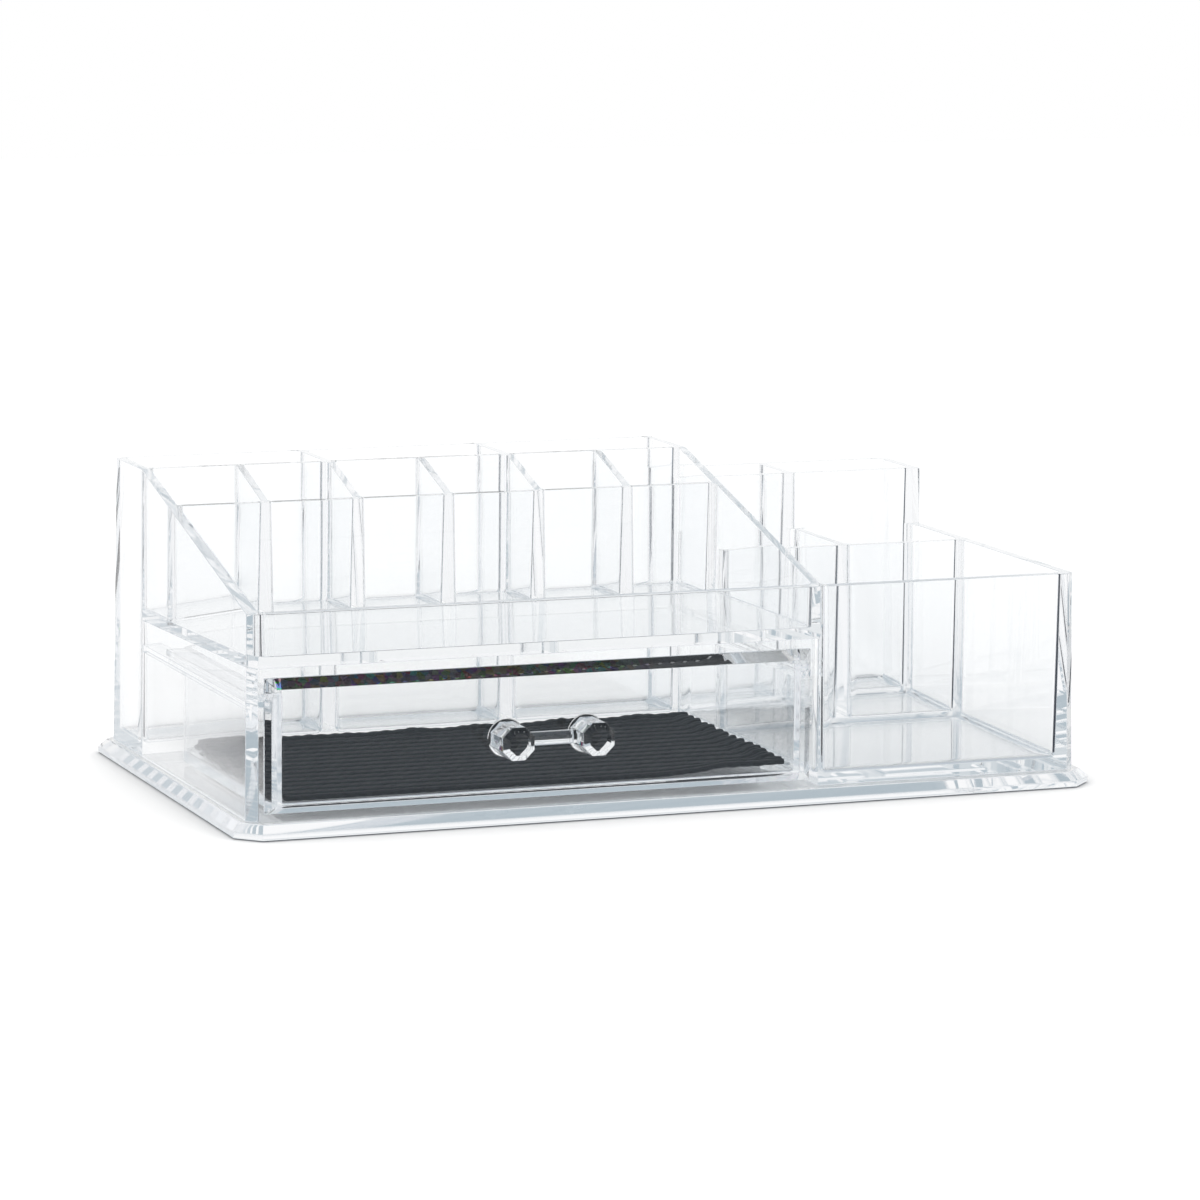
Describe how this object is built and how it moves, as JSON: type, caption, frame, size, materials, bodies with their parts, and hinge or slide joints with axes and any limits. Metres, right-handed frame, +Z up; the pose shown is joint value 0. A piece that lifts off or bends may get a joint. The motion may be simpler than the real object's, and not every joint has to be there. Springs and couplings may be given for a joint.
{
  "type": "makeup organizer",
  "caption": "Clear plastic makeup organizer with stepped upright compartments, an open tray and a lined pull-out drawer on a bevelled base.",
  "frame": {"origin": "under the middle of the footprint, on the surface that the organizer stands on", "axes": "+X to the right seen from the front, +Y from the drawer side to the back, +Z up"},
  "size_m": [0.322, 0.1912, 0.1096],
  "materials": {
    "clear_body_plastic": "polished, clear",
    "clear_drawer_plastic": "polished, clear",
    "liner_mesh": "ribbed woven mesh, a little glossy"
  },
  "bodies": {
    "organizer": {"base_plate": "clear_body_plastic", "left_side_wall": "clear_body_plastic", "partition_wall": "clear_body_plastic", "tall_back_wall": "clear_body_plastic", "mid_wall": "clear_body_plastic", "back_bay_floor": "clear_body_plastic", "tray_front_wall": "clear_body_plastic", "tray_floor": "clear_body_plastic", "lipstick_front_wall": "clear_body_plastic", "lipstick_divider_1": "clear_body_plastic", "lipstick_divider_2": "clear_body_plastic", "lipstick_divider_3": "clear_body_plastic", "lipstick_divider_4": "clear_body_plastic", "lipstick_divider_5": "clear_body_plastic", "back_bay_divider_1": "clear_body_plastic", "back_bay_divider_2": "clear_body_plastic", "left_drawer_rail": "clear_body_plastic", "right_drawer_rail": "clear_body_plastic", "right_side_wall": "clear_body_plastic", "right_floor": "clear_body_plastic", "right_front_wall": "clear_body_plastic", "right_back_wall": "clear_body_plastic", "right_bay_front_wall": "clear_body_plastic", "cup_row_wall": "clear_body_plastic", "right_bay_divider": "clear_body_plastic", "cup_divider": "clear_body_plastic"},
    "drawer": {"drawer_front": "clear_drawer_plastic", "drawer_floor": "clear_drawer_plastic", "drawer_back_wall": "clear_drawer_plastic", "drawer_left_side": "clear_drawer_plastic", "drawer_right_side": "clear_drawer_plastic", "left_knob": "clear_drawer_plastic", "right_knob": "clear_drawer_plastic", "handle_bar": "clear_drawer_plastic", "drawer_liner": "liner_mesh"}
  },
  "joints": [
    {"name": "drawer_slide", "type": "slide", "parent": "organizer", "child": "drawer", "axis": [0, -1, 0], "range_m": [0, 0.08]}
  ]
}
